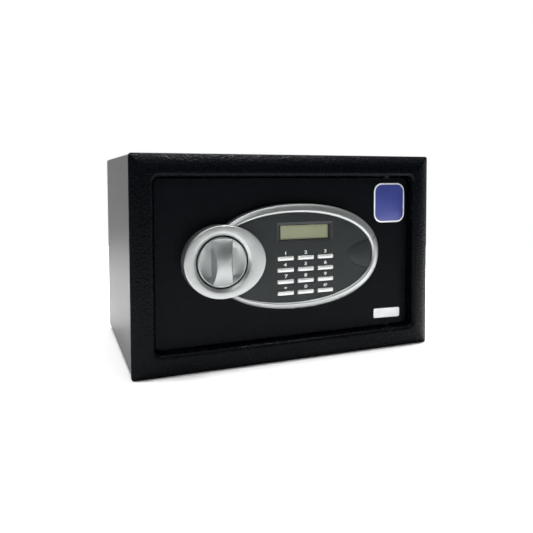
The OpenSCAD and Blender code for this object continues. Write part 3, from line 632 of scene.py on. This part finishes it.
STICKER_AT = (111.5, 151.5)
STICKER_W, STICKER_H = 37.0, 41.0
STICKER_BORDER = 1.5
STICKER_THICK, FIELD_THICK = 0.14, 0.10
LABEL_AT = (109.0, 35.2)
LABEL_TURN = math.radians(-1.5)
sticker("sticker_edge", *STICKER_AT, STICKER_W, STICKER_H, 9.0, DOOR_Y - 0.01, STICKER_THICK,
        label_white)
sticker("sticker_field", *STICKER_AT, STICKER_W - 2 * STICKER_BORDER,
        STICKER_H - 2 * STICKER_BORDER, 7.6, DOOR_Y - 0.13, FIELD_THICK, sticker_blue)
sticker("blank_label", *LABEL_AT, 31.5, 9.8, 1.7, DOOR_Y - 0.01, STICKER_THICK, label_white,
        LABEL_TURN)

# ---------- pressed and welded details ----------

WELD_R, WELD_RISE = 2.6, 0.28
WELDS_ACROSS, WELDS_UP = 6, 4
BEAD_H, BEAD_RISE = 5, 1.0
BEAD_PITCH = 9
LONG_BEAD, SHORT_BEAD = 84, 30
BAY_RIM = 4  # how far the rim stands out beyond the battery lid
BAY_GAP = 0.7
BAY_RIM_RISE = 0.7


def weld(cx, cy, cz, out):
    """A shallow round dome on a wall that faces along out."""
    out = Vector(out)
    side = out.orthogonal().normalized()
    up = out.cross(side)
    loops = []
    for i in range(5):
        turn = math.pi / 2 * i / 5
        ring_r, rise = WELD_R * math.cos(turn), WELD_RISE * math.sin(turn)
        loops.append([Vector((cx, cy, cz)) + out * (rise - 0.05)
                      + (side * math.cos(t) + up * math.sin(t)) * ring_r
                      for t in (2 * math.pi * k / 20 for k in range(20))])
    return loft(loops)


weld_y = body_high.y - 6  # over the back panel's flange
welds = []
for i in range(WELDS_ACROSS):
    x = body_low.x + (body_high.x - body_low.x) * (i + 0.5) / WELDS_ACROSS
    welds.append(weld(x, weld_y, body_high.z, (0, 0, 1)))
    welds.append(weld(x, weld_y, body_low.z, (0, 0, -1)))
for i in range(WELDS_UP):
    z = body_low.z + (body_high.z - body_low.z) * (i + 0.5) / WELDS_UP
    welds.append(weld(body_low.x, weld_y, z, (-1, 0, 0)))
    welds.append(weld(body_high.x, weld_y, z, (1, 0, 0)))
build("spot_welds", *join(*welds), finish["body_paint"], "cabinet", "body_paint")


def bead(cx, cz, w):
    """A stiffening bead: a long raised form with round ends, on the mechanism cover."""
    loops = [at_depth(rounded(cx, cz, w, BEAD_H, BEAD_H / 2 - 0.01), mech_high.y - 0.1)]
    for i in range(7):
        turn = math.pi / 2 * i / 7
        inset = BEAD_H * (1 - math.cos(turn)) * 0.96
        h = BEAD_H - inset
        loops.append(at_depth(rounded(cx, cz, w - inset, h, h / 2 - 0.01),
                              mech_high.y + BEAD_RISE * math.sin(turn)))
    return loft(loops)


beads = [bead(mech_low.x + 58, mech_high.z - 26 - BEAD_PITCH * i, LONG_BEAD)
         for i in range(4)]
beads += [bead(mech_high.x - 24, mech_high.z - 30 - BEAD_PITCH * i, SHORT_BEAD)
          for i in range(2)]
build("cover_beads", *join(*beads), finish["body_paint"], "door", "body_paint")
lid_w, lid_h = lid_high.x - lid_low.x, lid_high.z - lid_low.z
frame_plate("battery_bay_rim", (lid_low.x + lid_high.x) / 2, (lid_low.z + lid_high.z) / 2,
            (lid_w + 2 * BAY_RIM, lid_h + 2 * BAY_RIM, 4),
            (lid_w + 2 * BAY_GAP, lid_h + 2 * BAY_GAP, 2.4),
            mech_high.y - 0.2, mech_high.y + BAY_RIM_RISE, finish["body_paint"], "door",
            "body_paint")

# ---------- floor, light and camera ----------


def stage_disc(name, radius, location):
    """A round pale floor, small enough that all of it is lit to the backdrop's white."""
    mesh = bpy.data.meshes.new(name)
    turns = [2 * math.pi * i / STEPS for i in range(STEPS)]
    mesh.from_pydata([(radius * math.cos(t), radius * math.sin(t), 0) for t in turns],
                     [], [tuple(range(STEPS))])
    plane = bpy.data.objects.new(name, mesh)
    plane.location = location
    bpy.context.scene.collection.objects.link(plane)
    mesh.materials.append(surface("pale_floor", (0.92, 0.92, 0.92), 0.9, spread=0.01, mottle=3,
                                  grain=200, bump=0.02, specular=0.1))


def area(name, location, target, size, power):
    """A soft box aimed at a place."""
    data = bpy.data.lights.new(name, "AREA")
    data.shape = "RECTANGLE"
    data.size, data.size_y = size
    data.energy = power
    lamp = bpy.data.objects.new(name, data)
    lamp.location = location
    lamp.rotation_mode = "QUATERNION"
    aim = Vector(target) - Vector(location)
    lamp.rotation_quaternion = aim.to_track_quat("-Z", "Y")
    bpy.context.scene.collection.objects.link(lamp)


stage_disc("floor", 0.85, (0, 0.1, 0))
centre = (0.0, 0.0, 0.1)
area("top_box", (0.0, 0.2, 1.5), centre, (2.2, 1.8), 44)
area("left_box", (-1.7, 0.7, 0.7), centre, (1.2, 1.2), 8)
area("front_box", (-0.5, -1.5, 1.5), centre, (0.8, 0.5), 5)
area("top_strip", (0.15, 0.08, 1.1), centre, (0.6, 0.04), 18)

world = bpy.data.worlds.new("studio")
bpy.context.scene.world = world
world.use_nodes = True
nodes = world.node_tree.nodes
nodes.clear()
place = nodes.new("ShaderNodeTexCoord")
split = nodes.new("ShaderNodeSeparateXYZ")
link(nodes, place, "Generated", split, "Vector")
across = nodes.new("ShaderNodeMapRange")  # dark in front of the safe, bright behind it
across.inputs["From Min"].default_value = -0.6
across.inputs["From Max"].default_value = 0.3
across.inputs["To Min"].default_value = 0.03
across.inputs["To Max"].default_value = 0.8
link(nodes, split, "Y", across, "Value")
room = nodes.new("ShaderNodeBackground")
room.inputs["Color"].default_value = (1, 1, 1, 1)
link(nodes, across, "Result", room, "Strength")
white = nodes.new("ShaderNodeBackground")
white.inputs["Color"].default_value = (1, 1, 1, 1)
white.inputs["Strength"].default_value = 1.0
ray = nodes.new("ShaderNodeLightPath")
mix = nodes.new("ShaderNodeMixShader")
link(nodes, ray, "Is Camera Ray", mix, "Fac")
link(nodes, room, "Background", mix, 1)
link(nodes, white, "Background", mix, 2)
output = nodes.new("ShaderNodeOutputWorld")
link(nodes, mix, "Shader", output, "Surface")

CAMERA_PLACE = Vector((-0.2169, -0.5930, 0.17856))
CAMERA_TURN = Euler([math.radians(a) for a in (87.251, 0.110, -22.722)])
camera_data = bpy.data.cameras.new("camera")
camera_data.sensor_width = 36
camera_data.lens = 38.30
camera_data.shift_x = -0.0398
camera_data.shift_y = -0.1166
camera_data.clip_start = 0.01
camera = bpy.data.objects.new("camera", camera_data)
camera.matrix_world = Matrix.LocRotScale(CAMERA_PLACE, CAMERA_TURN, None)
bpy.context.scene.collection.objects.link(camera)
bpy.context.scene.camera = camera
bpy.context.scene.view_settings.view_transform = "Standard"
